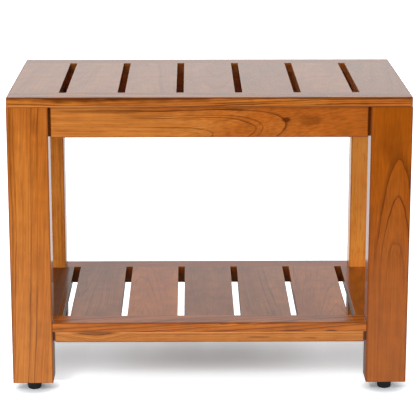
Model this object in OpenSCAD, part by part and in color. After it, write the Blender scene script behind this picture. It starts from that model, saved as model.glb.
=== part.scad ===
// Shower bench of varnished teak with a slatted seat and a slatted lower shelf.
// Two side frames (legs, side aprons and side stretchers, joined by mortise and tenon) carry
// the seat and the shelf. Each slat enters both of its rails with a stub tenon. The long aprons
// under the seat rails and the cleats under the shelf rails are tenoned into the legs, with
// shoulders that stop short of the legs, so that water runs out of the joints.
// Each leg stands on a foot that screws out of a sleeve to level the bench.
// Frame: origin on the floor under the centre of the seat, +X right, +Y back, +Z up, millimetres.

/* [Bench] */
// Overall width, over the legs and the seat
bench_w = 600; // [560:1:660]
// Overall depth, over the legs and the seat
bench_d = 350; // [310:1:400]
// Height of the seat's top face above the floor
seat_h = 457; // [400:1:510]
// Height of the shelf's top face above the floor
shelf_h = 110; // [104:1:170]
// Radius that eases the outer edges of the boards and legs
edge_r = 2; // [1:0.25:3]

/* [Slats] */
// Width of the seat's two outer slats; the inner ones share the width that is left
outer_slat_w = 75.7; // [66:0.1:82]
// Width of the drain slot between two slats
slot_w = 10.6; // [7:0.2:14]
// Radius that eases the slat edges along the slots
slot_edge_r = 1; // [0.5:0.25:2]
// Length of a slat's stub tenon
slat_tenon_l = 8; // [5:0.5:12]
// Thickness of a slat's stub tenon
slat_tenon_t = 5; // [3:0.5:6]
// Shoulder on each side of a slat's stub tenon
slat_shoulder = 3; // [2:0.5:4]

/* [Seat] */
// Thickness of the seat rails and slats
seat_t = 15; // [13:0.5:22]
// Width of the front and back seat rails
seat_rail_w = 40; // [34:1:52]
// Radius of the seat's corners in plan
seat_corner_r = 6; // [4:0.5:12]
// Height of the front and back aprons
apron_h = 47; // [38:1:70]
// Thickness of the front and back aprons
apron_t = 20; // [16:1:24]
// Distance of an apron's outer face behind the leg faces
apron_setback = 8; // [4:0.5:12]
// Drain gap between the shoulder of an apron or cleat and the leg beside it
end_gap = 3.5; // [1:0.5:8]
// Length of the tenons of aprons and cleats inside the legs
long_tenon_l = 12; // [8:0.5:14]
// Thickness of those tenons
long_tenon_t = 8; // [6:0.5:10]
// Shoulder above and below those tenons inside the legs
long_shoulder = 4; // [3:0.25:5]
// Shoulder above and below the wider neck that bridges the drain gap
neck_shoulder = 1; // [0.5:0.25:2]

/* [Shelf] */
// Thickness of the shelf rails and slats
shelf_t = 15; // [13:0.5:20]
// Width of the front and back shelf rails
shelf_rail_w = 37; // [34:1:50]
// Distance of the shelf rails behind the leg faces
shelf_setback = 1; // [0.5:0.5:4]
// Distance of the shelf's outer slats inside the legs' outer sides
shelf_side_setback = 4; // [2:0.5:12]
// Height of the cleats under the shelf rails
cleat_h = 17; // [14:0.5:24]
// Width of the cleats under the shelf rails
cleat_w = 20; // [16:1:24]
// Distance of a cleat's outer face behind the leg faces
cleat_setback = 4; // [2:0.5:8]

/* [Side frames] */
// Width of a leg, along X
leg_w = 61.5; // [48:0.5:70]
// Depth of a leg, along Y
leg_d = 42; // [36:1:50]
// Height of the side aprons between the legs
side_apron_h = 47; // [38:1:70]
// Height of the side stretchers under the shelf
stretcher_h = 30; // [26:1:40]
// Thickness of the side aprons and side stretchers
side_rail_t = 20; // [18:1:26]
// Length of the tenons on the side aprons and stretchers
rail_tenon_l = 16; // [10:1:20]
// Thickness of those tenons
rail_tenon_t = 8; // [6:0.5:10]
// Shoulder above and below those tenons
rail_shoulder = 6; // [4:0.5:8]

/* [Feet] */
// Height of a foot pad, which is the height of the leg ends above the floor
foot_h = 14; // [10:0.5:20]
// Diameter of a foot pad where it meets the leg
foot_d = 22.5; // [21:0.5:28]
// Diameter of a foot pad just above its rounded tread
foot_tread_d = 21; // [17:0.5:21.5]
// Radius of the rounded edge of the tread
foot_edge_r = 3; // [1:0.25:4]
// Diameter of the threaded stud of a foot
stud_d = 8; // [6:0.5:8]
// Depth to which the stud is moulded into the pad
stud_seat = 8; // [5:0.5:9]
// How far a foot can be screwed out
foot_travel = 8; // [4:1:10]
// Length of stud that stays in the sleeve when a foot is screwed right out
stud_grip = 16; // [12:1:18]
// Outer diameter of the sleeve that takes the stud
sleeve_d = 12; // [11:0.5:14]
// Length of that sleeve
sleeve_l = 22; // [16:1:26]
// Diameter of the sleeve's flange
flange_d = 18; // [16:0.5:20]
// Thickness of the sleeve's flange, let in flush with the leg end
flange_t = 1.5; // [1:0.25:2.5]

/* [Fasteners] */
// Shank diameter of the wood screws
screw_d = 4; // [3:0.5:5]
// Head diameter of the wood screws
screw_head_d = 8; // [6.5:0.5:8.5]
// Height of the wood screws' conical head
screw_head_h = 2.4; // [1.5:0.1:3.5]
// Length of each arm of the cross recess in a screw head
cross_l = 4.8; // [3:0.2:5.6]
// Width of those arms
cross_w = 1; // [0.6:0.1:1.4]
// Depth of the cross recess
cross_depth = 0.8; // [0.4:0.1:1.2]
// Distance between neighbouring screws in an apron or cleat
screw_pitch = 105; // [80:1:105]
// Length of screw that bites into a rail
screw_bite = 10; // [6:0.5:10.5]
// Wood between an apron screw's head and the seat rail
apron_grip = 15; // [10:0.5:24]
// Wood between a cleat screw's head and the shelf rail
cleat_grip = 10; // [7:0.5:11]
// Diameter of the holes that let the screw heads in
head_hole_d = 9; // [9:0.5:11]
// Shank diameter of the connector bolts
bolt_d = 6; // [5:0.5:7]
// Head diameter of the connector bolts
bolt_head_d = 12; // [10:0.5:13]
// Head height of the connector bolts
bolt_head_h = 3; // [2:0.5:5]
// Width across flats of the key socket in a bolt head
key_w = 4; // [3:0.5:5]
// Depth of that socket
key_depth = 2; // [1:0.25:2]
// Diameter of the holes that let the bolt heads in
bolt_hole_d = 14; // [13.5:0.5:15]
// Wood between a bolt head and the seat
seat_bolt_grip = 25; // [18:1:30]
// Wood between a bolt head and the shelf
shelf_bolt_grip = 15; // [10:0.5:18]
// Distance of each connector bolt from the middle of its side frame
bolt_y = 90; // [70:1:100]
// Outer diameter of the threaded inserts for the bolts
insert_d = 9; // [8:0.5:11]
// Length of those inserts
insert_l = 10; // [7:0.5:10.5]
// Diameter of the dowels that locate the seat on the legs
dowel_d = 8; // [6:0.5:10]
// Length of a dowel in the leg
dowel_in_leg = 16; // [10:1:20]
// Length of a dowel in the seat rail
dowel_in_seat = 8; // [6:0.5:10]
// Distance of a dowel behind the leg's outer face
dowel_inset = 14; // [10:0.5:15]

/* [Fits] */
// Clearance round a tenon in its mortise, and past its end
tenon_gap = 0.15; // [0.05:0.05:0.5]
// Clearance between pieces that slide past each other while the bench is put together
fit_gap = 0.3; // [0.2:0.05:0.5]
// Radial clearance round the shanks of screws, bolts, dowels and inserts in their holes
hole_gap = 0.1; // [0.05:0.05:0.3]
// Radial running clearance of a foot's stud in its sleeve
thread_gap = 0.05; // [0.02:0.01:0.1]

/* [Hidden] */
$fn = 48;
slat_count = 7;
screw_count = 5;
socket_sides = 6;
slat_w = (bench_w - 2 * outer_slat_w - (slat_count - 1) * slot_w) / (slat_count - 2);
slat_pitch = slat_w + slot_w;
middle_slat = (slat_count + 1) / 2;
half_w = bench_w / 2;
half_d = bench_d / 2;
inner_x = half_w - leg_w;
inner_y = half_d - leg_d;
leg_x = half_w - leg_w / 2;
leg_y = half_d - leg_d / 2;
leg_top = seat_h - seat_t;
shelf_under = shelf_h - shelf_t;
shelf_half_w = half_w - shelf_side_setback;
shelf_half_d = half_d - shelf_setback;
seat_slat_l = bench_d - 2 * seat_rail_w;
shelf_slat_l = 2 * (shelf_half_d - shelf_rail_w);
apron_y = half_d - apron_setback - apron_t / 2;
cleat_y = half_d - cleat_setback - cleat_w / 2;
long_rail_l = 2 * (inner_x - end_gap);
side_rail_l = 2 * inner_y;
dowel_y = half_d - dowel_inset;
stud_l = foot_travel + stud_grip;
stud_hole_l = stud_l + fit_gap + tenon_gap;
teak = [0.74, 0.42, 0.16];
teak_red = [0.66, 0.34, 0.12];
teak_light = [0.80, 0.50, 0.22];
beech = [0.85, 0.70, 0.48];
rubber_black = [0.06, 0.06, 0.06];
steel = [0.72, 0.73, 0.75];
brass = [0.78, 0.62, 0.30];

// ---- Outlines and blocks ----

// Rectangle centred on the origin, with true arcs of radius r at its corners.
module rounded_rect(w, h, r) {
    square([w - 2 * r, h], center = true);
    square([w, h - 2 * r], center = true);
    for (sx = [-1, 1], sy = [-1, 1])
        translate([sx * (w / 2 - r), sy * (h / 2 - r)]) circle(r);
}

// Block of size [x, y, z] standing on z = 0, centred in plan, with its edges along Y rounded.
module eased_along_y(size, r) {
    translate([0, 0, size.z / 2])
        rotate([90, 0, 0])
            linear_extrude(size.y, center = true) rounded_rect(size.x, size.z, r);
}

// The same block with its edges along X rounded.
module eased_along_x(size, r) {
    translate([0, 0, size.z / 2])
        rotate([90, 0, 90])
            linear_extrude(size.x, center = true) rounded_rect(size.y, size.z, r);
}

// The same block with all its edges rounded.
module eased_block(size, r) {
    intersection() {
        linear_extrude(size.z) rounded_rect(size.x, size.y, r);
        eased_along_x(size, r);
        eased_along_y(size, r);
    }
}

// Puts its children at the four corners [+-x, +-y].
module at_corners(x, y) {
    for (sx = [-1, 1], sy = [-1, 1]) translate([sx * x, sy * y, 0]) children();
}

// ---- Slats, shared by the seat and the shelf ----

// Left and right edge of slat i, counted from the left, in a board field that ends at +-reach.
function slat_left(i, reach) = i == 1 ? -reach : (i - middle_slat) * slat_pitch - slat_w / 2;
function slat_right(i, reach) = i == slat_count ? reach : (i - middle_slat) * slat_pitch + slat_w / 2;

// -1 for the leftmost slat, 1 for the rightmost and 0 for those between.
function outer_side(i) = i == 1 ? -1 : i == slat_count ? 1 : 0;

// Stub tenons of one slat, from inside the slat to their ends.
module stub_tenons(x0, x1, slat_l, t) {
    translate([x0 + slat_shoulder, -slat_l / 2 - slat_tenon_l, (t - slat_tenon_t) / 2])
        cube([x1 - x0 - 2 * slat_shoulder, slat_l + 2 * slat_tenon_l, slat_tenon_t]);
}

// Body of a slat, top and bottom edges along the slots eased.
module slat_body(x0, x1, slat_l, t) {
    translate([(x0 + x1) / 2, 0, 0]) eased_along_y([x1 - x0, slat_l, t], slot_edge_r);
}

// ---- Seat ----

// Outside of the whole seat: rounded plan corners and eased edges all round.
module seat_envelope() {
    intersection() {
        linear_extrude(seat_t) rounded_rect(bench_w, bench_d, seat_corner_r);
        eased_along_y([bench_w, bench_d, seat_t], edge_r);
        eased_along_x([bench_w, bench_d, seat_t], edge_r);
    }
}

// Slat i of the seat. The first and the last one run to the seat's ends, where the envelope cuts them.
module seat_slat(i) {
    x0 = slat_left(i, half_w);
    x1 = slat_right(i, half_w);
    outer = outer_side(i);
    color(i % 2 == 0 ? teak : teak_light)
        translate([0, 0, leg_top])
            difference() {
                union() {
                    intersection() {
                        seat_envelope();
                        slat_body(outer < 0 ? 2 * x0 : x0, outer > 0 ? 2 * x1 : x1, seat_slat_l, seat_t);
                    }
                    stub_tenons(x0, x1, seat_slat_l, seat_t);
                }
                if (outer != 0) insert_holes(outer * leg_x);
            }
}

// Front (side = -1) or back (side = 1) rail of the seat, with a mortise for every slat.
module seat_rail(side) {
    color(teak)
        translate([0, 0, leg_top])
            difference() {
                intersection() {
                    seat_envelope();
                    translate([-half_w, side > 0 ? half_d - seat_rail_w : -half_d, 0])
                        cube([bench_w, seat_rail_w, seat_t]);
                }
                for (i = [1 : slat_count])
                    slat_mortises(slat_left(i, half_w), slat_right(i, half_w), seat_slat_l, seat_t);
                for (x = screw_places()) translate([x, side * apron_y, 0]) pilot_hole();
                for (sx = [-1, 1]) translate([sx * leg_x, side * dowel_y, 0]) dowel_hole(dowel_in_seat);
            }
}

// Pockets in the rails for the stub tenons of one slat.
module slat_mortises(x0, x1, slat_l, t) {
    reach = slat_l / 2 + slat_tenon_l + tenon_gap;
    translate([x0 + slat_shoulder - tenon_gap, -reach, (t - slat_tenon_t) / 2 - tenon_gap])
        cube([x1 - x0 - 2 * slat_shoulder + 2 * tenon_gap, 2 * reach, slat_tenon_t + 2 * tenon_gap]);
}

// Rail between two legs, t thick and h high: eased body, necks across the drain gaps and tenons.
module long_rail(t, h) {
    eased_block([long_rail_l, t, h], edge_r);
    long_tenon(2 * (inner_x - tenon_gap), h, neck_shoulder);
    long_tenon(2 * (inner_x + long_tenon_l), h, long_shoulder);
}

// Bar of length l through a rail of height h, which forms the tenons at both of its ends.
module long_tenon(l, h, shoulder) {
    translate([-l / 2, -long_tenon_t / 2, shoulder]) cube([l, long_tenon_t, h - 2 * shoulder]);
}

// Long apron under the front or back seat rail.
module seat_apron(side) {
    color(side < 0 ? teak_light : teak)
        translate([0, side * apron_y, leg_top - apron_h])
            difference() {
                long_rail(apron_t, apron_h);
                for (x = screw_places())
                    translate([x, 0, 0]) screw_hole(apron_h, apron_grip);
            }
}

// ---- Shelf ----

// Front or back rail of the shelf, fitted between the legs.
module shelf_rail(side) {
    color(side < 0 ? teak : teak_red)
        translate([0, 0, shelf_under])
            difference() {
                intersection() {
                    eased_along_x([2 * (inner_x - fit_gap), 2 * shelf_half_d, shelf_t], edge_r);
                    translate([-half_w, side > 0 ? shelf_half_d - shelf_rail_w : -shelf_half_d, 0])
                        cube([bench_w, shelf_rail_w, shelf_t]);
                }
                for (i = [1 : slat_count])
                    slat_mortises(shelf_tenon_left(i), shelf_tenon_right(i), shelf_slat_l, shelf_t);
                for (x = screw_places()) translate([x, side * cleat_y, 0]) pilot_hole();
            }
}

// Span from which a shelf slat's tenons are cut: the outer slats only have them beside the legs.
function shelf_tenon_left(i) = max(slat_left(i, shelf_half_w), fit_gap - inner_x);
function shelf_tenon_right(i) = min(slat_right(i, shelf_half_w), inner_x - fit_gap);

// Slat i of the shelf. The outer ones widen between the legs, so their corners are notched.
module shelf_slat(i) {
    x0 = slat_left(i, shelf_half_w);
    x1 = slat_right(i, shelf_half_w);
    outer = outer_side(i);
    color(i % 2 == 0 ? teak_light : teak)
        translate([0, 0, shelf_under])
            difference() {
                union() {
                    difference() {
                        slat_body(x0, x1, shelf_slat_l, shelf_t);
                        at_corners(leg_x, leg_y)
                            translate([0, 0, -shelf_t])
                                linear_extrude(3 * shelf_t)
                                    square([leg_w + 2 * fit_gap, leg_d + 2 * fit_gap], center = true);
                    }
                    stub_tenons(shelf_tenon_left(i), shelf_tenon_right(i), shelf_slat_l, shelf_t);
                }
                if (outer != 0) insert_holes(outer * leg_x);
            }
}

// Cleat under the front or back shelf rail.
module shelf_cleat(side) {
    color(side < 0 ? teak_light : teak)
        translate([0, side * cleat_y, shelf_under - cleat_h])
            difference() {
                long_rail(cleat_w, cleat_h);
                for (x = screw_places())
                    translate([x, 0, 0]) screw_hole(cleat_h, cleat_grip);
            }
}

// ---- Side frames ----

// Leg at corner [sx, sy], with mortises for the four rails that meet it and a bore for its foot.
module leg(sx, sy) {
    color(sx < 0 ? teak_light : teak_red)
        translate([sx * leg_x, sy * leg_y, 0])
            difference() {
                translate([0, 0, foot_h]) leg_block(leg_top - foot_h);
                rail_mortise(-sy, leg_top - side_apron_h, side_apron_h);
                rail_mortise(-sy, shelf_under - stretcher_h, stretcher_h);
                long_mortise(-sx, sy * (apron_y - leg_y), leg_top - apron_h, apron_h);
                long_mortise(-sx, sy * (cleat_y - leg_y), shelf_under - cleat_h, cleat_h);
                translate([0, sy * (dowel_y - leg_y), leg_top]) dowel_hole(dowel_in_leg);
                translate([0, 0, foot_h]) foot_bore();
            }
}

// Leg of height h before it is cut: all edges eased but those of its top, which meets the seat.
module leg_block(h) {
    intersection() {
        linear_extrude(h) rounded_rect(leg_w, leg_d, edge_r);
        eased_along_x([leg_w, leg_d, h + 2 * edge_r], edge_r);
        eased_along_y([leg_w, leg_d, h + 2 * edge_r], edge_r);
    }
}

// Pocket in a leg's inner face for the tenon of a side rail of height h whose bottom is at z.
module rail_mortise(towards, z, h) {
    size = [rail_tenon_t, 2 * rail_tenon_l, h - 2 * rail_shoulder];
    translate([0, towards * leg_d / 2, z + h / 2]) cube([for (s = size) s + 2 * tenon_gap], center = true);
}

// Pocket in a leg's inner side at depth y for the tenon of an apron or cleat of height h at z.
module long_mortise(towards, y, z, h) {
    size = [2 * long_tenon_l, long_tenon_t, h - 2 * long_shoulder];
    translate([towards * leg_w / 2, y, z + h / 2]) cube([for (s = size) s + 2 * tenon_gap], center = true);
}

// Bore in a leg's end: flange recess, sleeve bore and room for the stud above it.
module foot_bore() {
    cylinder(h = 2 * flange_t, d = flange_d + 2 * hole_gap, center = true);
    cylinder(h = 2 * sleeve_l, d = sleeve_d + 2 * hole_gap, center = true);
    cylinder(h = 2 * stud_hole_l, d = stud_d + 2 * fit_gap, center = true);
}

// Rail between a front and a back leg, with a tenon at each end.
module side_rail(h) {
    eased_along_y([side_rail_t, side_rail_l, h], edge_r);
    translate([-rail_tenon_t / 2, -side_rail_l / 2 - rail_tenon_l, rail_shoulder])
        cube([rail_tenon_t, side_rail_l + 2 * rail_tenon_l, h - 2 * rail_shoulder]);
}

// Side apron under the seat, drilled for the bolts that hold the seat.
module side_apron(sx) {
    color(teak)
        translate([sx * leg_x, 0, leg_top - side_apron_h])
            difference() {
                side_rail(side_apron_h);
                bolt_holes(side_apron_h, seat_bolt_grip);
            }
}

// Side stretcher under the shelf, drilled for the bolts that hold the shelf.
module side_stretcher(sx) {
    color(teak_red)
        translate([sx * leg_x, 0, shelf_under - stretcher_h])
            difference() {
                side_rail(stretcher_h);
                bolt_holes(stretcher_h, shelf_bolt_grip);
            }
}

// ---- Screws ----

// Places of the screws along an apron or cleat.
function screw_places() = [for (k = [0 : screw_count - 1]) (k - (screw_count - 1) / 2) * screw_pitch];

// Hole through a rail of height h: a wide bore for the head from below, then a shank hole.
module screw_hole(h, grip) {
    translate([0, 0, h / 2]) cylinder(h = 2 * h, d = screw_d + 2 * hole_gap, center = true);
    translate([0, 0, h - grip]) mirror([0, 0, 1]) {
        cylinder(h = h, d = head_hole_d);
        mirror([0, 0, 1])
            cylinder(h = screw_head_h, d1 = screw_head_d + 2 * hole_gap, d2 = screw_d + 2 * hole_gap);
    }
}

// Pilot hole for a screw's tip, from the underside of a rail.
module pilot_hole() {
    cylinder(h = 2 * (screw_bite + hole_gap), d = screw_d + 2 * hole_gap, center = true);
}

// Countersunk wood screw whose head face is at z = 0 and whose tip points up.
module wood_screw(grip) {
    difference() {
        union() {
            cylinder(h = screw_head_h, d1 = screw_head_d, d2 = screw_d);
            cylinder(h = grip + screw_bite, d = screw_d);
        }
        for (turn = [0, 90])
            rotate(turn) cube([cross_l, cross_w, 2 * cross_depth], center = true);
    }
}

// Row of screws in both long aprons or both cleats, up into the rails above them.
module screw_rows(y, z, grip) {
    color(steel)
        for (side = [-1, 1], x = screw_places())
            translate([x, side * y, z - grip]) wood_screw(grip);
}

// ---- Bolts, inserts and dowels ----

// Two holes through a side rail of height h, with wide bores for the bolt heads from below.
module bolt_holes(h, grip) {
    for (side = [-1, 1])
        translate([0, side * bolt_y, 0]) {
            translate([0, 0, h / 2]) cylinder(h = 2 * h, d = bolt_d + 2 * fit_gap, center = true);
            cylinder(h = 2 * (h - grip), d = bolt_hole_d, center = true);
        }
}

// Blind holes for the two inserts in the underside of an outer slat.
module insert_holes(x) {
    for (side = [-1, 1])
        translate([x, side * bolt_y, 0])
            cylinder(h = 2 * (insert_l + hole_gap), d = insert_d + 2 * hole_gap, center = true);
}

// Flat-headed connector bolt with a hexagonal key socket, head face at z = 0, pointing up.
module connector_bolt(grip) {
    difference() {
        union() {
            cylinder(h = bolt_head_h, d = bolt_head_d);
            cylinder(h = bolt_head_h + grip + insert_l - hole_gap, d = bolt_d);
        }
        cylinder(h = 2 * key_depth, d = key_w / cos(180 / socket_sides), $fn = socket_sides, center = true);
    }
}

// The four bolts below a level z, with the head against the bottom of its hole.
module bolt_set(z, grip) {
    color(steel)
        for (sx = [-1, 1], side = [-1, 1])
            translate([sx * leg_x, side * bolt_y, z - grip - bolt_head_h]) connector_bolt(grip);
}

// Threaded inserts in the undersides of the seat and the shelf.
module bolt_inserts() {
    color(brass)
        for (z = [leg_top, shelf_under], sx = [-1, 1], side = [-1, 1])
            translate([sx * leg_x, side * bolt_y, z])
                difference() {
                    cylinder(h = insert_l, d = insert_d);
                    translate([0, 0, insert_l / 2])
                        cylinder(h = 2 * insert_l, d = bolt_d + 2 * thread_gap, center = true);
                }
}

// Hole for the stretch of a dowel that reaches depth from the face at z = 0.
module dowel_hole(depth) {
    cylinder(h = 2 * (depth + hole_gap), d = dowel_d + 2 * hole_gap, center = true);
}

// Dowels that stand in the leg tops and locate the seat.
module seat_dowels() {
    color(beech)
        at_corners(leg_x, dowel_y)
            translate([0, 0, leg_top - dowel_in_leg])
                cylinder(h = dowel_in_leg + dowel_in_seat, d = dowel_d);
}

// ---- Feet ----

// Threaded sleeve in each leg end, with its flange flush with the end grain.
module foot_sleeves() {
    color(brass)
        at_corners(leg_x, leg_y)
            translate([0, 0, foot_h])
                difference() {
                    union() {
                        cylinder(h = flange_t, d = flange_d);
                        cylinder(h = sleeve_l, d = sleeve_d);
                    }
                    translate([0, 0, sleeve_l / 2])
                        cylinder(h = 2 * sleeve_l, d = stud_d + 2 * thread_gap, center = true);
                }
}

// Half section of a foot pad: tapered side and a tread with a rounded edge.
module pad_section() {
    top = foot_h - fit_gap;
    tread_r = foot_tread_d / 2;
    difference() {
        union() {
            polygon([[0, foot_edge_r], [tread_r, foot_edge_r], [foot_d / 2, top], [0, top]]);
            square([tread_r - foot_edge_r, top]);
            translate([tread_r - foot_edge_r, foot_edge_r]) circle(foot_edge_r);
        }
        translate([0, top - stud_seat]) square([stud_d / 2 + thread_gap, stud_seat + foot_h]);
    }
}

// Foot pad at corner [sx, sy], standing on the floor just clear of the leg.
module foot_pad(sx, sy) {
    color(rubber_black)
        translate([sx * leg_x, sy * leg_y, 0]) rotate_extrude() pad_section();
}

// Threaded stud of the foot at corner [sx, sy], moulded into its pad.
module foot_stud(sx, sy) {
    color(steel)
        translate([sx * leg_x, sy * leg_y, foot_h - fit_gap - stud_seat])
            cylinder(h = stud_seat + stud_l, d = stud_d);
}

seat_rail(-1);  // seat_front_rail
seat_rail(1);  // seat_back_rail
seat_slat(1);  // seat_slat_1
seat_slat(2);  // seat_slat_2
seat_slat(3);  // seat_slat_3
seat_slat(4);  // seat_slat_4
seat_slat(5);  // seat_slat_5
seat_slat(6);  // seat_slat_6
seat_slat(7);  // seat_slat_7
seat_apron(-1);  // seat_front_apron
seat_apron(1);  // seat_back_apron
shelf_rail(-1);  // shelf_front_rail
shelf_rail(1);  // shelf_back_rail
shelf_slat(1);  // shelf_slat_1
shelf_slat(2);  // shelf_slat_2
shelf_slat(3);  // shelf_slat_3
shelf_slat(4);  // shelf_slat_4
shelf_slat(5);  // shelf_slat_5
shelf_slat(6);  // shelf_slat_6
shelf_slat(7);  // shelf_slat_7
shelf_cleat(-1);  // shelf_front_cleat
shelf_cleat(1);  // shelf_back_cleat
leg(-1, -1);  // leg_front_left
leg(1, -1);  // leg_front_right
leg(-1, 1);  // leg_back_left
leg(1, 1);  // leg_back_right
side_apron(-1);  // side_apron_left
side_apron(1);  // side_apron_right
side_stretcher(-1);  // side_stretcher_left
side_stretcher(1);  // side_stretcher_right
screw_rows(apron_y, leg_top, apron_grip);  // apron_screws
screw_rows(cleat_y, shelf_under, cleat_grip);  // cleat_screws
bolt_set(leg_top, seat_bolt_grip);  // seat_bolts
bolt_set(shelf_under, shelf_bolt_grip);  // shelf_bolts
bolt_inserts();
seat_dowels();
foot_sleeves();
foot_pad(-1, -1);  // foot_pad_front_left
foot_pad(1, -1);  // foot_pad_front_right
foot_pad(-1, 1);  // foot_pad_back_left
foot_pad(1, 1);  // foot_pad_back_right
foot_stud(-1, -1);  // foot_stud_front_left
foot_stud(1, -1);  // foot_stud_front_right
foot_stud(-1, 1);  // foot_stud_back_left
foot_stud(1, 1);  // foot_stud_back_right
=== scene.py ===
"""Looks of a varnished teak shower bench: teak board by board, feet, fasteners, studio and camera."""
import math
from collections import namedtuple
from dataclasses import dataclass

import bmesh
import bpy
from mathutils import Matrix, Vector


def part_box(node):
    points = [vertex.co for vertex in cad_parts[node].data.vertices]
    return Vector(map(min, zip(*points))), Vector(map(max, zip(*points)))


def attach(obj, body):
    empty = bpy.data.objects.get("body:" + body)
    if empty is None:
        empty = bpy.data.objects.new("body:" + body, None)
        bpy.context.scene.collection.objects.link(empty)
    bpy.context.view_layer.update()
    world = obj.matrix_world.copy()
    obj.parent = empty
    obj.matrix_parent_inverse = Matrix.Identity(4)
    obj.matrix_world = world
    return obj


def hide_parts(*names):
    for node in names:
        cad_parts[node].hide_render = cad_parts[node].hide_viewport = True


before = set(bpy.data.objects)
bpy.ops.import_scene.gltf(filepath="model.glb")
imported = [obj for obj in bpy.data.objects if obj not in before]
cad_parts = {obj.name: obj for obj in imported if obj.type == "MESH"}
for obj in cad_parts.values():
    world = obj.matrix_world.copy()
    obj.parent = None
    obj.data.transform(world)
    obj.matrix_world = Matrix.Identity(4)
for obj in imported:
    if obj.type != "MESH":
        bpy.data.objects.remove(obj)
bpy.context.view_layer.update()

X, Y, Z = 0, 1, 2
MM = 0.001

# ---- Camera: a long lens in front of the bench, just left of its middle ----

IMAGE_PX = 416
SENSOR_MM = 36.0
FOCAL_PX = 1759.2
CAMERA_AT = (-0.0281, -2.7200, 0.9251)
CAMERA_PITCH = math.radians(14.02)
CAMERA_YAW = math.radians(0.578)


# ---- Node helpers ----

# A mix node has sockets for every type of data. These are the ones of its colours.
MIX_A, MIX_B, MIX_RESULT = 6, 7, 2


class Graph:
    """Short calls that add shader nodes to one material or world and wire them."""

    def __init__(self, tree):
        self.tree = tree
        tree.nodes.clear()

    def add(self, kind, **settings):
        node = self.tree.nodes.new(kind)
        for name, value in settings.items():
            setattr(node, name, value)
        return node

    def put(self, node, name, value):
        """Wires value into an input if it is a socket, and sets it there if it is a number or colour."""
        socket = node.inputs[name]
        if isinstance(value, bpy.types.NodeSocket):
            self.tree.links.new(value, socket)
        else:
            socket.default_value = value

    def fill(self, kind, *values, **settings):
        """Adds a node and gives its first inputs these values in turn."""
        node = self.add(kind, **settings)
        for index, value in enumerate(values):
            self.put(node, index, value)
        return node

    def math(self, operation, *values, clamp=False):
        return self.fill("ShaderNodeMath", *values, operation=operation, use_clamp=clamp).outputs[0]

    def plus(self, a, b):
        return self.math("ADD", a, b)

    def minus(self, a, b):
        return self.math("SUBTRACT", a, b)

    def times(self, a, b):
        return self.math("MULTIPLY", a, b)

    def over(self, a, b):
        return self.math("DIVIDE", a, b)

    def square(self, a):
        return self.math("POWER", a, 2.0)

    def size(self, a):
        return self.math("ABSOLUTE", a)

    def larger(self, a, b):
        return self.math("MAXIMUM", a, b)

    def smaller(self, a, b):
        return self.math("MINIMUM", a, b)

    def distance(self, a, b):
        """Length of the diagonal over a and b."""
        return self.math("SQRT", self.plus(self.square(a), self.square(b)))

    def vector(self, operation, *vectors):
        return self.fill("ShaderNodeVectorMath", *vectors, operation=operation).outputs[0]

    def combine(self, x, y, z):
        return self.fill("ShaderNodeCombineXYZ", x, y, z).outputs[0]

    def split(self, vector):
        return self.fill("ShaderNodeSeparateXYZ", vector).outputs

    def noise(self, vector, scale=1.0, detail=2.0):
        node = self.add("ShaderNodeTexNoise", noise_dimensions="3D")
        self.put(node, "Vector", vector)
        self.put(node, "Scale", scale)
        self.put(node, "Detail", detail)
        return node.outputs

    def noise_line(self, value, detail):
        """Noise along one number."""
        node = self.add("ShaderNodeTexNoise", noise_dimensions="1D")
        self.put(node, "W", value)
        self.put(node, "Scale", 1.0)
        self.put(node, "Detail", detail)
        return node.outputs["Fac"]

    def ramp(self, factor, stops):
        """Grey ramp through (position, value) stops."""
        node = self.fill("ShaderNodeValToRGB", factor)
        elements = node.color_ramp.elements
        while len(elements) < len(stops):
            elements.new(0.5)
        for element, (position, value) in zip(elements, stops):
            element.position = position
            element.color = (value, value, value, 1.0)
        return node.outputs[0]

    def mix(self, factor, a, b, blend="MIX"):
        node = self.fill("ShaderNodeMix", factor, data_type="RGBA", blend_type=blend, clamp_factor=True)
        self.put(node, MIX_A, a)
        self.put(node, MIX_B, b)
        return node.outputs[MIX_RESULT]

    def span(self, value, low, high, to_low=0.0, to_high=1.0):
        """Turns smoothly from to_low, where value is low, to to_high, where it is high."""
        return self.fill("ShaderNodeMapRange", value, low, high, to_low, to_high,
                         interpolation_type="SMOOTHSTEP").outputs[0]


def new_material(name):
    material = bpy.data.materials.new(name)
    material.use_nodes = True
    return material, Graph(material.node_tree)


def finish_surface(graph, colour, roughness, bump_height, bump_strength, bump_distance, metallic=0.0):
    """Principled shader with the graph's colour, roughness and bump, wired to the output."""
    shader = graph.add("ShaderNodeBsdfPrincipled")
    graph.put(shader, "Base Color", colour)
    graph.put(shader, "Roughness", roughness)
    shader.inputs["Metallic"].default_value = metallic
    shader.inputs["IOR"].default_value = 1.5
    bump = graph.add("ShaderNodeBump")
    bump.inputs["Strength"].default_value = bump_strength
    bump.inputs["Distance"].default_value = bump_distance
    graph.put(bump, "Height", bump_height)
    graph.put(shader, "Normal", bump.outputs[0])
    output = graph.add("ShaderNodeOutputMaterial")
    graph.put(output, "Surface", shader.outputs[0])


def rgba(red, green, blue):
    """Colour from the sRGB values 0 to 255 that an eye reads off a surface."""
    def linear(value):
        value /= 255.0
        return value / 12.92 if value <= 0.04045 else ((value + 0.055) / 1.055) ** 2.4
    return (linear(red), linear(green), linear(blue), 1.0)


def grey(value):
    return (value, value, value, 1.0)


def paint(node, material):
    """Gives a CAD node that material alone."""
    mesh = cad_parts[node].data
    mesh.materials.clear()
    mesh.materials.append(material)


# ---- Teak: tones and how the wood is drawn ----

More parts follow.
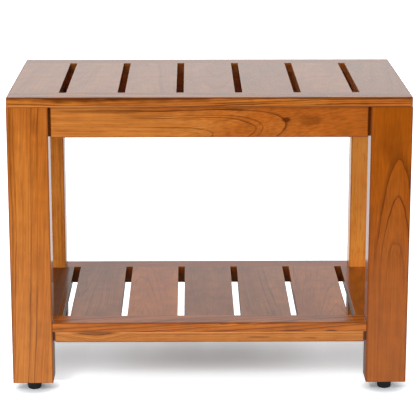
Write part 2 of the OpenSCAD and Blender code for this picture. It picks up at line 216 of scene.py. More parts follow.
# Tones of a board: early wood, late wood and the tint that drifts over it.
Tone = namedtuple("Tone", "early late drift")
GOLDEN = Tone(rgba(203, 121, 47), rgba(138, 66, 12), rgba(186, 104, 34))
ORANGE = Tone(rgba(194, 112, 38), rgba(122, 56, 8), rgba(174, 94, 26))
RUSSET = Tone(rgba(180, 95, 27), rgba(104, 42, 4), rgba(156, 76, 10))
UMBER = Tone(rgba(178, 108, 54), rgba(98, 48, 16), rgba(158, 90, 40))
AMBER = Tone(rgba(212, 133, 57), rgba(140, 72, 18), rgba(194, 115, 42))
# Paler tone of the back right leg under the seat: painted light.
PAINTED_LIGHT_HONEY = Tone(rgba(255, 169, 78), rgba(176, 94, 27), rgba(240, 150, 62))
# Dark tone of the shelf's left slat beside the leg: painted shade and a painted dark reflection of the leg.
PAINTED_SHADE_TONE = Tone(rgba(120, 66, 24), rgba(70, 34, 8), rgba(102, 54, 14))
PINK = Tone(rgba(200, 126, 70), rgba(116, 60, 26), rgba(182, 110, 56))
WARM = Tone(rgba(207, 117, 33), rgba(126, 56, 8), rgba(187, 99, 24))
SEAT_RAIL_TONE = Tone(rgba(206, 121, 42), ORANGE.late, rgba(196, 110, 42))
SEAT_APRON_TONE = Tone(rgba(200, 121, 50), AMBER.late, RUSSET.early)
RIGHT_LEG_TONE = Tone(rgba(173, 91, 22), RUSSET.late, rgba(166, 83, 3))
# Dark of single years and of stains; some stains paint shade with it.
DARK_GRAIN_AND_SHADE = rgba(92, 38, 2)
# Painted shade on tenons seen in the drain gap before the legs.
TENON_SHADE_BROWN = rgba(74, 30, 6)
# Painted shade on the walls inside slots.
SLOT_SHADE_BROWN = rgba(52, 22, 4)
# Painted pale reflection on the slot walls of the seat's right slats.
SLOT_PAINTED_REFLECTION = rgba(206, 138, 84)
# Painted highlight on arrises: the bright floor mirrored on their rounding.
PAINTED_ARRIS_GLINT = rgba(248, 170, 100)

# Noises that bend the grain: cycles per metre along and across it, and detail.
WANDER = (3.0, 9.0, 1.0)
KINKS = (24.0, 70.0, 2.0)
KINK_REACH = 2.0 * MM
# Streaks, drawn out along the grain: cycles per metre along and across it, detail and place in the noise.
FIBRES = (8.0, 480.0, 4.0, 0.0)
FLECKS = (55.0, 330.0, 2.0, 3.0)
MINERAL = (1.6, 150.0, 2.0, 5.0)
CLOUDS = (2.4, 16.0, 2.0, 9.0)
SWELL = (9.0, 60.0, 1.0, 4.0)
# Noises that change only from year to year: cycles per year, place in the noise, and detail.
YEAR_WIDTHS = (0.37, 0.0, 1.0)
YEAR_BANDS = (0.55, 17.0, 3.0)
# Where rings are strong or faint: cycles per year and per metre along the grain, and place in the noise.
PATCHES_PER_YEAR, PATCHES_PER_METRE, PATCHES_PLACE = 0.83, 5.0, 7.0
# Unevenness of the planed and varnished face: cycles per metre and detail.
RIPPLE = (40.0, 3.0)
# One year, from its thin dark line of large pores outwards: place in the year, and darkness.
YEAR_PROFILE = [(0.0, 0.60), (0.04, 1.0), (0.14, 0.46), (0.36, 0.14), (0.75, 0.0), (0.95, 0.10),
                (1.0, 0.60)]
# How far the years' widths differ, in years.
UNEVEN_YEARS = 2.8
# Darkness of the rings' lines, of bands of several years, of both together, and of mineral streaks.
LINE_STRENGTH = 0.62
BAND_STRENGTH = 0.20
LATE_STRENGTH = 0.9
MINERAL_STRENGTH = 0.40
# A year that stands out spreads its shade this strongly beyond its line.
YEAR_SHADE = 0.6
# The dark line of a rubbed arris: where it is full and where it ends, by the distances to both faces
# added up, and how dark it is.
ARRIS_FULL, ARRIS_END = 1.3 * MM, 2.6 * MM
ARRIS_STRENGTH = 0.55
# End grain and walls of slots start to show, and show in full, where a face looks this much their way.
TURNED, FACING = 0.70, 0.95
# How dark end grain is, and how strongly shade is painted on a tenon in the drain gap.
END_STRENGTH = 0.45
TENON_SHADE_STRENGTH = 0.85
# Where a board ends and its tenon starts, measured from its middle, for boards whose tenons show.
DRAIN_GAP_START = 0.2352
# Varnish: roughness of a clean face, and what is added by each of these where it is full.
VARNISH_ROUGH = 0.15
FIBRE_ROUGH = 0.06
LATE_ROUGH = 0.06
END_ROUGH = 0.15
ARRIS_ROUGH = 0.5
DULL_ROUGH = 0.35
# Relief of the varnish: how much fibres and ripple raise and late wood sinks it, and the bump's strength
# and height.
FIBRE_RELIEF, RIPPLE_RELIEF, LATE_RELIEF = 0.4, 1.6, 0.2
VARNISH_BUMP, VARNISH_BUMP_HEIGHT = 0.20, 0.03 * MM


@dataclass
class Look:
    """What sets the teak of one board apart. Lengths are in mm, places are measured from its middle."""
    # The growth rings lie round a pith line that runs along the board. pith is where it passes the
    # board's middle, along the two other axes. tilt is its slope there, over the stretch turn if given.
    pith: tuple
    tilt: tuple = (0.0, 0.0)
    turn: tuple = None
    # Spacing and strength of the rings, and how far the grain wanders.
    ring: float = 5.0
    contrast: float = 1.0
    waves: float = 4.0
    # Local waves in the second of the two axes: place along the board, depth and reach of each.
    dips: tuple = ()
    # Tone, and how fast the board turns to its drift tint along the grain.
    tone: Tone = ORANGE
    darkening: float = 0.0
    # Strength of the fibres and of the flecks, and strength of the soft mottling.
    fine: tuple = (0.7, 0.3)
    mottle: float = 0.042
    # Years that stand out: radius, strength, width of the line on the board's face, and depth of the
    # shade behind it. seen is where along the board they start to show, and where they show in full.
    growth: tuple = ()
    seen: tuple = None
    # Dark places on the front: where along and across it, how long, how wide and how strong.
    stains: tuple = ()
    # Faces inside a slot: the ways they look, by axis and sign, how strongly painted shade covers them and
    # how rough they are, and the painted colour (a pale painted reflection on some seat slats).
    inside: tuple = ()
    slot_shading: tuple = (0.9, 0.45)
    slot_paint: tuple = SLOT_SHADE_BROWN
    # Painted highlight on arrises: on the lower (-1) or upper (1) ones, the stretch of the board over
    # which they turn dark, and how pale they are.
    arris_glint: tuple = None
    # Stretch across the board over which a dull face turns glossy.
    dull: tuple = None
    # Whether the board's tenons show in the gap before the leg, with painted shade on them.
    shaded_tenons: bool = False


class Board:
    """Solid teak for one board. Everything follows the place of a point in the wood, so that rings
    and fibres run on over every edge."""

    def __init__(self, node, grain, look, seed):
        low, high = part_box(node)
        self.half = (high - low) / 2
        self.grain = grain
        self.across, self.through = [axis for axis in (X, Y, Z) if axis != grain]
        self.look = look
        self.seed = seed
        self.material, self.g = new_material(node + "_teak")
        g = self.g
        # Where a point lies, seen from the board's middle, and which way the surface faces there.
        place = g.add("ShaderNodeTexCoord").outputs
        self.local = g.vector("SUBTRACT", place["Object"], tuple((low + high) / 2))
        self.at = g.split(self.local)
        self.facing = g.split(place["Normal"])
        self.along = self.at[grain]
        # The seed shifts all noises along the board, so that no two boards are alike.
        self.shifted = g.plus(self.along, seed)
        self.kinks = self.wobble(*KINKS)
        self.offsets = self.from_pith()
        self.radius = g.distance(*self.offsets)
        self.years = g.over(self.radius, look.ring * MM)
        # Rings are strong in some places and faint in others.
        over_length = g.plus(g.times(self.shifted, PATCHES_PER_METRE), PATCHES_PLACE)
        self.patches = g.noise(g.combine(g.times(self.years, PATCHES_PER_YEAR), over_length, seed))["Fac"]
        self.fibres = self.streaks(*FIBRES)
        self.ripple = g.noise(self.local, *RIPPLE)["Fac"]
        self.late = self.rings()

    def wobble(self, along_scale, across_scale, detail):
        """Three slow noises, centred on 0."""
        g = self.g
        noise = g.noise(g.combine(g.times(self.shifted, along_scale),
                                  g.times(self.at[self.across], across_scale),
                                  g.times(self.at[self.through], across_scale)), detail=detail)
        return g.split(g.vector("SUBTRACT", noise["Color"], (0.5, 0.5, 0.5)))

    def streaks(self, along_scale, across_scale, detail, place):
        """Noise that is drawn out along the grain."""
        g = self.g
        return g.noise(g.combine(g.times(g.plus(self.shifted, place), along_scale),
                                 g.times(self.offsets[0], across_scale),
                                 g.times(self.offsets[1], across_scale)), detail=detail)["Fac"]

    def over_years(self, scale, place, detail):
        """Noise that changes only from ring to ring."""
        return self.g.noise_line(self.g.plus(self.g.times(self.years, scale), self.seed + place), detail)

    def from_pith(self):
        """How far a point is from the pith line, along the two axes across the grain."""
        g = self.g
        look = self.look
        leaning = self.along
        if look.turn:
            start, end = look.turn[0] * MM, look.turn[1] * MM
            leaning = g.span(self.along, start, end, start, end)
        # The grain wanders: slow waves and small kinks push the rings sideways.
        wander = self.wobble(*WANDER)
        offsets = []
        for index, axis in enumerate((self.across, self.through)):
            line = g.plus(g.times(leaning, look.tilt[index]), look.pith[index] * MM)
            bent = g.plus(g.times(wander[index], 2 * look.waves * MM),
                          g.times(self.kinks[index], KINK_REACH))
            offsets.append(g.plus(g.minus(self.at[axis], line), bent))
        for centre, depth, reach in look.dips:
            away = g.size(g.minus(self.along, centre * MM))
            offsets[1] = g.plus(offsets[1], g.span(away, 0.0, reach * MM, depth * MM, 0.0))
        return offsets

    def rings(self):
        """Darkness of the late wood: rings of uneven width, and bands of several dark years."""
        g = self.g
        look = self.look
        phase = g.math("FRACT", g.plus(self.years, g.times(self.over_years(*YEAR_WIDTHS), UNEVEN_YEARS)))
        lines = g.times(g.ramp(phase, YEAR_PROFILE), g.span(self.patches, 0.36, 0.64, 0.10, 1.0))
        bands = g.span(self.over_years(*YEAR_BANDS), 0.36, 0.72)
        return g.math("ADD", g.times(lines, LINE_STRENGTH * look.contrast),
                      g.times(bands, BAND_STRENGTH * look.contrast), clamp=True)

    def wood(self):
        """Colour of the plain wood: tones, rings, mineral streaks, fibres, mottling and flecks."""
        g = self.g
        look = self.look
        mineral = g.span(self.streaks(*MINERAL), 0.60, 0.74)
        clouds = g.plus(self.streaks(*CLOUDS), g.times(self.along, look.darkening))
        flecks = g.span(self.streaks(*FLECKS), 0.54, 0.70)
        fibre_tint = g.ramp(self.fibres, [(0.28, 0.32), (0.5, 0.5), (0.72, 0.66)])
        mottle_tint = g.ramp(self.ripple, [(0.3, 0.5 - look.mottle), (0.5, 0.5), (0.7, 0.5 + look.mottle)])
        colour = g.mix(g.span(clouds, 0.36, 0.64), look.tone.early, look.tone.drift)
        colour = g.mix(g.times(self.late, LATE_STRENGTH), colour, look.tone.late)
        colour = g.mix(g.times(mineral, MINERAL_STRENGTH * look.contrast), colour, look.tone.late)
        colour = g.mix(look.fine[0], colour, fibre_tint, "OVERLAY")
        colour = g.mix(1.0, colour, mottle_tint, "OVERLAY")
        return g.mix(g.times(flecks, look.fine[1]), colour, look.tone.late)

    def add_years(self, colour):
        """Draws the single years that stand out."""
        g = self.g
        look = self.look
        if not look.growth:
            return colour
        # How fast the radius changes along the board's face: a line there keeps its width.
        sideways = g.over(self.offsets[1] if self.grain == X else self.offsets[0], self.radius)
        slope = max(abs(value) for value in look.tilt)
        steep = g.math("SQRT", g.plus(g.square(sideways), slope ** 2))
        steep = g.times(steep, g.span(self.streaks(*SWELL), 0.35, 0.65, 0.6, 1.8))
        dark = 0.0
        for radius, strength, width, shade in look.growth:
            off = g.minus(self.radius, radius * MM)
            line = g.span(g.size(off), 0.0, g.times(steep, width * MM), strength, 0.0)
            if shade:
                behind = g.times(g.math("GREATER_THAN", off, 0.0),
                                 g.span(off, 0.0, shade * MM, YEAR_SHADE * strength, 0.0))
                line = g.larger(line, behind)
            dark = g.larger(dark, line)
        dark = g.times(dark, g.span(self.patches, 0.34, 0.58, 0.40, 1.0))
        if look.seen:
            start, full = look.seen
            dark = g.times(dark, g.span(self.along, start * MM, full * MM))
        return g.mix(dark, colour, DARK_GRAIN_AND_SHADE)

    def rub_and_glint_arrises(self, colour):
        """Arrises are rubbed and take more varnish, so each shows as a thin darker line, but not along
        slots. Where the look asks for it, a painted highlight takes the place of that line on the lower or
        upper arrises. Returns the colour and where the arrises are."""
        g = self.g
        look = self.look
        half = self.half
        edges = [g.minus(half[axis], g.size(self.at[axis])) for axis in (self.across, self.through)]
        arris = g.span(g.plus(*edges), ARRIS_FULL, ARRIS_END, ARRIS_STRENGTH, 0.0)
        # Painted highlight: pale arrises where the look asks for them, in place of the dark line.
        if look.arris_glint:
            side, start, end, strength = look.arris_glint
            other = g.span(self.at[Z], side * half[Z] / 2, -side * half[Z] / 2)
            shown = g.larger(other, g.span(self.along, start * MM, end * MM))
            glint_strength = g.times(g.minus(1.0, shown), strength)
            colour = g.mix(g.times(arris, glint_strength), colour, PAINTED_ARRIS_GLINT)
            arris = g.times(arris, shown)
        for axis, sign in look.inside:
            to_slot = g.times(self.at[axis], sign)
            arris = g.times(arris, g.span(to_slot, 0.0, half[axis] / 2, 1.0, 0.0))
        return g.mix(arris, colour, look.tone.late), arris

    def stain(self, colour):
        """Darkens places on the front, with ragged edges."""
        g = self.g
        over_face = self.at[Z] if self.grain == X else self.at[self.across]
        for along, across, length, width, strength in self.look.stains:
            ahead = g.over(g.minus(self.along, along * MM), length * MM)
            aside = g.over(g.minus(over_face, across * MM), width * MM)
            away = g.plus(g.distance(ahead, aside), self.kinks[0])
            front = g.span(self.facing[Y], -0.9, -0.6, 1.0, 0.0)
            colour = g.mix(g.times(g.span(away, 0.4, 1.0, strength, 0.0), front), colour, DARK_GRAIN_AND_SHADE)
        return colour

    def varnished(self):
        """Colours and varnishes the wood, and returns the material."""
        g = self.g
        look = self.look
        colour, arris = self.rub_and_glint_arrises(self.add_years(self.wood()))
        colour = self.stain(colour)
        # End grain drinks the varnish and is darker. Walls inside slots get painted shade (on the seat's
        # right slats a pale painted reflection instead), and tenons in the drain gap get painted shade.
        end = g.span(g.size(self.facing[self.grain]), TURNED, FACING)
        colour = g.mix(g.times(end, END_STRENGTH), colour, look.tone.late)
        # Walls inside slots take the painted colour: shade brown, on some seat slats a pale painted
        # reflection.
        slot_walls = 0.0
        for axis, sign in look.inside:
            wall = g.span(g.times(self.facing[axis], sign), TURNED, FACING)
            slot_walls = g.larger(slot_walls, wall)
        slot_shade, rough = look.slot_shading
        colour = g.mix(g.times(slot_walls, slot_shade), colour, look.slot_paint)
        # Painted shade on the tenon that shows in the drain gap.
        if look.shaded_tenons:
            past_shoulder = g.span(g.size(self.along), DRAIN_GAP_START - MM, DRAIN_GAP_START)
            colour = g.mix(g.times(past_shoulder, TENON_SHADE_STRENGTH), colour, TENON_SHADE_BROWN)

        roughness = g.plus(g.times(self.fibres, FIBRE_ROUGH), g.times(end, END_ROUGH))
        roughness = g.plus(roughness, g.plus(g.times(self.late, LATE_ROUGH), VARNISH_ROUGH))
        roughness = g.plus(roughness, g.plus(g.times(slot_walls, rough), g.times(arris, ARRIS_ROUGH)))
        if look.dull:
            start, glossy = look.dull
            dulled = g.span(self.at[self.across], start * MM, glossy * MM, DULL_ROUGH, 0.0)
            roughness = g.plus(roughness, dulled)
        relief = g.plus(g.times(self.fibres, FIBRE_RELIEF), g.times(self.ripple, RIPPLE_RELIEF))
        relief = g.minus(relief, g.times(self.late, LATE_RELIEF))
        finish_surface(g, colour, roughness, relief, VARNISH_BUMP, VARNISH_BUMP_HEIGHT)
        return self.material


# ---- Teak: the boards ----

# Stretch over which painted arris highlights turn dark, for arrises that never do: it lies past the board's
# end.
PAST_END = (260.0, 270.0)

# Each board: node, grain axis and look.
BOARDS = [
    ("seat_front_rail", X, Look(
        pith=(-20.0, 45.0), tilt=(0.0, 0.022), turn=(-220.0, 260.0), ring=3.6, contrast=1.2, waves=1.2,
        dips=[(-206.0, 2.8, 60.0)], tone=SEAT_RAIL_TONE, darkening=0.5,
        growth=[(33.6, 0.8, 0.8, 0.0), (36.2, 0.9, 0.9, 0.0), (42.6, 0.9, 1.2, 0.0), (46.5, 0.95, 1.4, 0.8),
                (49.6, 0.8, 1.0, 0.0), (53.0, 0.9, 1.2, 0.6)],
        # The last stain darkens the top arris along the whole rail: darker wood, with a painted dark
        # reflection of the rounded edge.
        stains=[(-195.0, 7.5, 85.0, 12.5, 0.85), (-105.0, 8.0, 150.0, 9.0, 0.72),
                (60.0, 7.5, 900.0, 4.0, 0.8)],
        inside=[(Y, 1)], arris_glint=(-1, -190.0, -20.0, 1.0))),
    ("seat_back_rail", X, Look(
        pith=(-60.0, 20.0), tilt=(0.010, -0.015), inside=[(Y, -1)], slot_shading=(0.35, 0.25))),
    ("seat_front_apron", X, Look(
        pith=(12.0, -15.2), tilt=(0.15, 0.10), turn=(-80.0, 260.0), ring=2.9, contrast=0.5, waves=1.5,
        tone=SEAT_APRON_TONE, darkening=0.9, fine=(0.7, 0.25),
        growth=[(17.8, 0.6, 1.5, 0.0), (30.6, 0.9, 1.6, 1.0), (33.4, 0.65, 1.4, 0.4), (41.0, 1.0, 1.8, 1.4)],
        seen=(-190.0, -60.0),
        # The last stain, along the apron's top at its left, is a dark year line with painted overhang shadow
        # of the seat rail.
        stains=[(113.0, 3.0, 9.0, 5.0, 0.9), (150.0, 2.0, 22.0, 12.0, 0.35),
                (-155.0, 16.0, 110.0, 3.4, 0.55)],
        shaded_tenons=True)),
    ("seat_back_apron", X, Look(
        pith=(-55.0, 10.0), tilt=(0.05, 0.02), ring=4.6, tone=RUSSET, shaded_tenons=True)),
    ("shelf_front_rail", X, Look(
        pith=(-18.5, -44.0), tilt=(0.0, 0.070), ring=3.6, contrast=1.1, waves=2.8, tone=WARM,
        growth=[(33.0, 0.6, 1.2, 0.0), (38.5, 0.7, 1.4, 1.0), (45.5, 0.8, 1.4, 0.0), (52.0, 0.7, 1.2, 1.0),
                (58.0, 0.6, 1.2, 0.0)],
        stains=[(-172.0, -7.5, 36.0, 3.2, 0.6), (22.0, 6.0, 9.0, 1.8, 0.5), (54.0, 6.5, 15.0, 2.0, 0.6),
                (128.0, -6.5, 22.0, 2.6, 0.7), (186.0, -6.0, 12.0, 2.6, 0.8)],
        inside=[(Y, 1)], arris_glint=(-1, *PAST_END, 0.0))),
    ("shelf_back_rail", X, Look(
        pith=(-60.0, -30.0), tilt=(0.02, 0.01), tone=RUSSET, inside=[(Y, -1)], slot_shading=(0.6, 0.45))),
    ("shelf_front_cleat", X, Look(
        pith=(-10.0, 60.0), tilt=(0.0, 0.002), ring=3.4, contrast=1.2, waves=0.6,
        dips=[(-174.0, 10.4, 70.0)], tone=AMBER,
        growth=[(45.6, 1.9, 1.5, 0.0), (55.5, 0.5, 0.8, 1.0)],
        stains=[(-174.0, 9.5, 42.0, 6.0, 0.7), (78.0, -0.5, 26.0, 2.0, 0.5), (152.0, -1.5, 15.0, 1.6, 0.45)],
        arris_glint=(1, *PAST_END, 1.8), shaded_tenons=True)),
    ("shelf_back_cleat", X, Look(
        pith=(-70.0, 40.0), tilt=(0.01, 0.01), ring=4.0, inside=[(Y, -1)], slot_shading=(0.6, 0.45),
        shaded_tenons=True)),
    ("leg_front_left", Z, Look(
        pith=(-64.0, 26.0), tilt=(0.05, 0.02), ring=5.6, contrast=0.3, waves=6.0,
        tone=GOLDEN, darkening=0.9, fine=(0.6, 0.15),
        growth=[(51.0, 0.5, 0.9, 0.0), (60.0, 0.6, 1.2, 3.0), (63.0, 0.6, 1.1, 0.0), (80.0, 0.55, 1.2, 3.0),
                (88.0, 0.7, 1.2, 1.6)],
        stains=[(186.0, 12.0, 22.0, 7.0, 0.28)])),
    ("leg_front_right", Z, Look(
        pith=(11.0, 20.0), tilt=(0.008, 0.050), turn=(-60.0, 260.0), ring=4.0, contrast=0.35, waves=1.6,
        tone=RIGHT_LEG_TONE, darkening=0.9, fine=(0.5, 0.12),
        growth=[(40.0, 0.45, 1.8, 1.0), (44.4, 0.85, 1.6, 0.5), (49.0, 0.95, 2.2, 2.2)],
        seen=(-120.0, 10.0), stains=[(160.0, 2.0, 44.0, 20.0, 0.26)])),
    ("leg_back_left", Z, Look(
        pith=(50.0, -46.0), tilt=(0.01, 0.02), ring=4.6, waves=3.0, tone=AMBER)),
    # The back right leg's pale tone is painted light.
    ("leg_back_right", Z, Look(
        pith=(-54.0, -40.0), tilt=(0.01, 0.01), ring=4.6, contrast=0.6, waves=3.0, tone=PAINTED_LIGHT_HONEY)),
    ("side_apron_left", Y, Look(pith=(44.0, 8.0), tilt=(0.05, 0.02), ring=3.4)),
    ("side_apron_right", Y, Look(pith=(-44.0, -6.0), tilt=(0.05, 0.02), ring=3.4, tone=RUSSET)),
    ("side_stretcher_left", Y, Look(pith=(40.0, 20.0), tilt=(0.02, 0.02), ring=3.6)),
    ("side_stretcher_right", Y, Look(pith=(-40.0, 16.0), tilt=(0.02, 0.02), ring=3.6)),
]
BOARD_SEED = 1.7

# Slats, from left to right: pith and tilt, then tone and single years in the seat and in the shelf.
SLATS = [
    # The shelf's left slat has a dark tone: painted shade beside the leg.
    ((-46.0, -30.0), (0.03, 0.02), PINK, [(48.0, 0.45, 1.2, 0.0)], PAINTED_SHADE_TONE, []),
    ((-30.0, -26.0), (0.02, 0.03), PINK, [(33.0, 0.5, 1.4, 1.0), (39.0, 0.4, 1.2, 0.0)],
     UMBER, [(30.0, 0.5, 1.4, 1.0), (36.0, 0.5, 1.4, 0.0)]),
    ((-22.0, -46.0), (0.02, -0.05), PINK, [(46.0, 0.45, 1.2, 0.0)], WARM, [(52.0, 0.4, 1.2, 1.0)]),
    ((14.0, -36.0), (0.04, 0.06), PINK, [(31.0, 0.5, 1.4, 0.8), (35.0, 0.45, 1.2, 0.0)],
     UMBER, [(30.5, 0.6, 1.4, 1.2), (34.5, 0.55, 1.4, 0.0)]),
    ((38.0, -30.0), (-0.03, 0.03), UMBER, [(30.0, 0.4, 1.2, 0.0)],
     UMBER, [(44.0, 0.6, 1.8, 2.0), (51.0, 0.5, 1.6, 0.0)]),
    ((26.0, -34.0), (0.03, -0.06), PINK, [(40.0, 0.45, 1.2, 0.0)],
     ORANGE, [(36.0, 0.5, 1.4, 0.0), (42.0, 0.45, 1.4, 1.0)]),
    ((-26.0, -32.0), (0.04, 0.05), UMBER, [(36.0, 0.5, 1.4, 1.0)], RUSSET, [(50.0, 0.4, 1.4, 0.0)]),
]
# Of the seat's slats, those from this one on have paler slot walls: a painted reflection of light on them.
FIRST_REFLECTING_SLOT = 5
# The shelf's left slat is dull beside the leg: the stretch across it over which it turns glossy.
LEFT_SLAT_DULL = (24.0, 31.0)
SEAT_SEED, SHELF_SEED, SLAT_SEED = 31.0, 58.0, 2.3


def paint_teak():
    for index, (node, grain, look) in enumerate(BOARDS):
        paint(node, Board(node, grain, look, BOARD_SEED * index).varnished())
    for index, (pith, tilt, seat_tone, seat_growth, shelf_tone, shelf_growth) in enumerate(SLATS):
        slots = [(X, sign) for sign in (-1, 1) if 0 <= index + sign < len(SLATS)]
        seat = Look(pith, tilt, waves=6.0, tone=seat_tone, contrast=0.5, fine=(0.25, 0.05), mottle=0.07,
                    growth=seat_growth, inside=slots, slot_shading=(0.9, 0.0),
                    slot_paint=SLOT_SHADE_BROWN if index < FIRST_REFLECTING_SLOT else SLOT_PAINTED_REFLECTION)
        shelf = Look(pith, tilt, waves=6.0, tone=shelf_tone, contrast=0.8, fine=(0.4, 0.10), mottle=0.075,
                     growth=shelf_growth, inside=slots, slot_shading=(0.0, 0.0),
                     dull=LEFT_SLAT_DULL if index == 0 else None)
        for part, seed, look in (("seat", SEAT_SEED, seat), ("shelf", SHELF_SEED, shelf)):
            node = f"{part}_slat_{index + 1}"
            paint(node, Board(node, Y, look, seed + SLAT_SEED * index).varnished())


# ---- Feet and fasteners ----

CORNERS = ("front_left", "front_right", "back_left", "back_right")
# Thread of the feet, M8, in metres: pitch and depth, and where flanks and crest lie along one pitch.
THREAD_PITCH = 0.00125
THREAD_DEPTH = 0.00068
THREAD_PROFILE = ((0.0, 0.0), (0.375, 1.0), (0.50, 1.0), (0.875, 0.0))
THREAD_STEPS = 32
# Points closer than this are one.
MERGE_DISTANCE = 1e-7


def rubber():
    """Black rubber with fine grain and some dust."""
    material, g = new_material("foot_rubber")
    place = g.add("ShaderNodeTexCoord").outputs["Object"]
    grains = g.noise(place, scale=900.0, detail=3.0)["Fac"]
    dust = g.noise(place, scale=60.0, detail=3.0)["Fac"]
    colour = g.mix(g.span(dust, 0.45, 0.75), rgba(20, 20, 21), rgba(42, 40, 38))
    roughness = g.plus(g.times(grains, 0.2), 0.48)
    finish_surface(g, colour, roughness, grains, bump_strength=0.3, bump_distance=0.0002)
    return material


def turned_metal(name, bright, dark):
    """Turned metal with fine marks round its axis and duller patches."""
    material, g = new_material(name)
    place = g.add("ShaderNodeTexCoord").outputs["Object"]
    marks = g.noise(g.vector("MULTIPLY", place, (300.0, 300.0, 4000.0)))["Fac"]
    patches = g.noise(place, scale=180.0, detail=3.0)["Fac"]
    colour = g.mix(g.span(patches, 0.35, 0.7), bright, dark)
    roughness = g.plus(g.times(patches, 0.25), 0.2)
    finish_surface(g, colour, roughness, marks, bump_strength=0.15, bump_distance=0.0001, metallic=1.0)
    return material


def beech():
    """Pale beech with fine upright fibres."""
    material, g = new_material("dowel_beech")
    place = g.add("ShaderNodeTexCoord").outputs["Object"]
    fibres = g.noise(g.vector("MULTIPLY", place, (900.0, 900.0, 40.0)), detail=3.0)["Fac"]
    colour = g.mix(g.span(fibres, 0.35, 0.65), rgba(222, 190, 144), rgba(190, 152, 104))
    roughness = g.plus(g.times(fibres, 0.2), 0.5)
    finish_surface(g, colour, roughness, fibres, bump_strength=0.2, bump_distance=0.0002)
    return material


def thread_mesh(low, high):
    """Closed helical thread round the axis of the box from low to high, inside that box."""
    centre = (low + high) / 2
    crest = (high.x - low.x) / 2
    root = crest - THREAD_DEPTH
    turns = math.ceil((high.z - low.z) / THREAD_PITCH) + 2
    mesh = bmesh.new()

    def vertex(column, row):
        turn, point = divmod(row, len(THREAD_PROFILE))
        offset, rise = THREAD_PROFILE[point]
        wanted = low.z + (turn - 1 + column / THREAD_STEPS + offset) * THREAD_PITCH
        z = min(max(wanted, low.z), high.z)
        # Both ends are chamfered down to the root.
        radius = min(root + rise * THREAD_DEPTH, root + min(z - low.z, high.z - z))
        angle = 2 * math.pi * column / THREAD_STEPS
        return mesh.verts.new((centre.x + radius * math.cos(angle), centre.y + radius * math.sin(angle), z))

    columns = []
    for column in range(THREAD_STEPS):
        columns.append([vertex(column, row) for row in range(turns * len(THREAD_PROFILE))])
    # One turn further on, the last column meets the first.
    columns.append(columns[0][len(THREAD_PROFILE):])
    for left, right in zip(columns, columns[1:]):
        for row in range(min(len(left), len(right)) - 1):
            mesh.faces.new((left[row], right[row], right[row + 1], left[row + 1]))
    bmesh.ops.remove_doubles(mesh, verts=mesh.verts, dist=MERGE_DISTANCE)
    bmesh.ops.dissolve_degenerate(mesh, edges=mesh.edges, dist=MERGE_DISTANCE)
    bmesh.ops.holes_fill(mesh, edges=mesh.edges, sides=0)
    bmesh.ops.recalc_face_normals(mesh, faces=mesh.faces)
    return mesh


def thread_foot(corner, material):
    """Puts a threaded stud in place of the plain one of one foot."""
    name = "foot_thread_" + corner
    plain_stud = "foot_stud_" + corner
    data = bpy.data.meshes.new(name)
    mesh = thread_mesh(*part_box(plain_stud))
    mesh.to_mesh(data)
    mesh.free()
    data.materials.append(material)
    piece = bpy.data.objects.new(name, data)
    bpy.context.scene.collection.objects.link(piece)
    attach(piece, "foot_" + corner)
    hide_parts(plain_stud)


def paint_fittings():
    zinc = turned_metal("zinc_steel", rgba(205, 207, 210), rgba(160, 162, 166))
    brass = turned_metal("yellow_brass", rgba(214, 178, 96), rgba(170, 132, 62))
    black = rubber()
    for node in ("apron_screws", "cleat_screws", "seat_bolts", "shelf_bolts"):
        paint(node, zinc)
    for node in ("bolt_inserts", "foot_sleeves"):
        paint(node, brass)
    paint("seat_dowels", beech())
    for corner in CORNERS:
        paint("foot_pad_" + corner, black)
        paint("foot_stud_" + corner, zinc)
        thread_foot(corner, zinc)


# ---- Studio ----

# Soft boxes of a light tent: name, place (m), width and height (m), power (W).
SOFTBOXES = [
    ("key", (-1.0, -2.5, 2.1), 0.6, 0.6, 27.0),
    ("front", (-0.3, -3.0, 0.75), 2.6, 0.8, 53.0),
    ("left", (-3.0, -0.4, 0.9), 2.0, 1.2, 26.0),
    ("right", (3.0, -0.4, 0.9), 2.0, 1.2, 24.0),
    ("back", (0.0, 3.0, 1.0), 2.4, 1.2, 20.0),
    ("top", (0.0, 0.3, 2.4), 1.8, 1.4, 5.0),
]
# The only soft box that the varnish mirrors.
MIRRORED_BOX = "top"
LIGHT_TARGET = Vector((0.0, 0.0, 0.22))
WHITE = grey(1.0)
ROOM_LIGHT = grey(0.13)
FLOOR_HALF = 12.0
# Colour of the lit floor: as light bounces off it, as gloss sees it, and as the camera sees it.
FLOOR_GREY = grey(0.4)
FLOOR_IN_GLOSS = grey(0.02)
FLOOR_SEEN = (1.20, 1.30, 1.36, 1.0)
# Painted shadow on the floor, where the camera's glow fades, in metres from the bench's middle: how wide
# it spreads, where it ends at the sides, where it ends at front and back, and how far it reaches round
# the middle of each foot.
SHADOW_SPREAD = 0.346
SHADOW_SIDES = (0.25, 0.31)
SHADOW_DEPTH = (0.010, 0.140)
FOOT_SHADOW = (0.012, 0.060)
SHADOW_RAMP = [(0.0, 1.0), (0.05, 0.52), (1.0, 0.07)]
FOOT_AT = sum(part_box("foot_pad_back_right"), Vector()) / 2


def softbox(name, at, width, height, power):
    data = bpy.data.lights.new(name, "AREA")
    data.shape = "RECTANGLE"
    data.size = width
    data.size_y = height
    data.energy = power
    lamp = bpy.data.objects.new(name, data)
    bpy.context.scene.collection.objects.link(lamp)
    lamp.location = at
    lamp.rotation_euler = (LIGHT_TARGET - lamp.location).to_track_quat("-Z", "Y").to_euler()
    lamp.visible_camera = False
    lamp.visible_glossy = name == MIRRORED_BOX


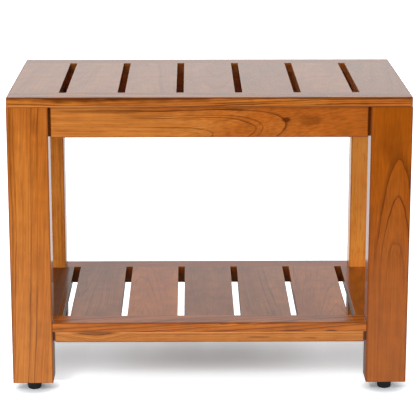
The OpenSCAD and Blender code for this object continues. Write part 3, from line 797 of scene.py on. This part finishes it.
def build_world():
    """White for the camera; gloss sees white behind the bench and a dim room in front of it."""
    world = bpy.data.worlds.new("studio")
    world.use_nodes = True
    bpy.context.scene.world = world
    g = Graph(world.node_tree)
    path = g.add("ShaderNodeLightPath").outputs
    direction = g.split(g.add("ShaderNodeTexCoord").outputs["Generated"])
    behind = g.span(direction[Y], -0.30, 0.10, 0.03, 1.0)
    gloss = g.times(behind, g.span(direction[Z], 0.18, 0.36, 1.0, 0.62))
    shiny = g.larger(path["Is Glossy Ray"], path["Is Transmission Ray"])
    strength = g.mix(shiny, ROOM_LIGHT, gloss)
    strength = g.mix(path["Is Camera Ray"], strength, WHITE)
    background = g.fill("ShaderNodeBackground", strength)
    g.fill("ShaderNodeOutputWorld", background.outputs[0])


def camera_glow(g, at):
    """How white the camera sees the floor glow. It fades under the bench and round each foot into a painted
    shadow.
    """
    across = g.size(at[X])
    deep = g.size(at[Y])
    spread = g.math("EXPONENT", g.times(g.square(g.over(across, SHADOW_SPREAD)), -1.0))
    spread = g.times(spread, g.span(across, *SHADOW_SIDES, 1.0, 0.0))
    shade = g.times(spread, g.span(deep, *SHADOW_DEPTH, 1.0, 0.0))
    to_foot = g.combine(g.minus(across, FOOT_AT.x), g.minus(deep, FOOT_AT.y), 0.0)
    from_foot = g.fill("ShaderNodeVectorMath", to_foot, operation="LENGTH").outputs["Value"]
    return g.smaller(g.ramp(shade, SHADOW_RAMP), g.span(from_foot, *FOOT_SHADOW))


def mirrored_glow(g, at):
    """In the varnish the floor is white behind the bench and right before it, and dim further on."""
    before = g.span(at[Y], -1.60, -0.30, 0.0, 0.75)
    near = g.times(before, g.span(at[Y], -0.20, -0.15, 1.0, 0.3))
    return g.larger(near, g.span(at[Y], 0.25, 0.60))


def build_floor():
    """Plain pale floor. The camera sees it white, and round the bench it keeps the real shadow, deepened by
    a painted one where its glow fades.
    """
    mesh = bpy.data.meshes.new("floor")
    corners = [(x * FLOOR_HALF, y * FLOOR_HALF, 0) for x, y in ((-1, -1), (1, -1), (1, 1), (-1, 1))]
    mesh.from_pydata(corners, [], [(0, 1, 2, 3)])
    floor = bpy.data.objects.new("floor", mesh)
    bpy.context.scene.collection.objects.link(floor)
    material, g = new_material("floor_white")
    path = g.add("ShaderNodeLightPath").outputs
    at = g.split(g.add("ShaderNodeTexCoord").outputs["Object"])
    colour = g.mix(path["Is Glossy Ray"], FLOOR_GREY, FLOOR_IN_GLOSS)
    colour = g.mix(path["Is Camera Ray"], colour, FLOOR_SEEN)
    diffuse = g.fill("ShaderNodeBsdfDiffuse", colour)
    glow = g.add("ShaderNodeEmission")
    g.put(glow, "Strength", g.larger(g.times(camera_glow(g, at), path["Is Camera Ray"]),
                                     g.times(mirrored_glow(g, at), path["Is Glossy Ray"])))
    both = g.fill("ShaderNodeAddShader", diffuse.outputs[0], glow.outputs[0])
    g.fill("ShaderNodeOutputMaterial", both.outputs[0])
    mesh.materials.append(material)


def build_camera():
    data = bpy.data.cameras.new("camera")
    data.sensor_width = SENSOR_MM
    data.lens = FOCAL_PX * SENSOR_MM / IMAGE_PX
    camera = bpy.data.objects.new("camera", data)
    bpy.context.scene.collection.objects.link(camera)
    level = Vector((math.sin(CAMERA_YAW), math.cos(CAMERA_YAW), 0.0))
    up = Vector((0.0, 0.0, 1.0))
    ahead = level * math.cos(CAMERA_PITCH) - up * math.sin(CAMERA_PITCH)
    over = up * math.cos(CAMERA_PITCH) + level * math.sin(CAMERA_PITCH)
    right = ahead.cross(over)
    turned = Matrix((right, over, -ahead)).transposed().to_4x4()
    camera.matrix_world = Matrix.Translation(CAMERA_AT) @ turned
    bpy.context.scene.camera = camera


build_camera()
build_world()
build_floor()
for box in SOFTBOXES:
    softbox(*box)
paint_teak()
paint_fittings()

bpy.context.scene.view_settings.view_transform = "Standard"
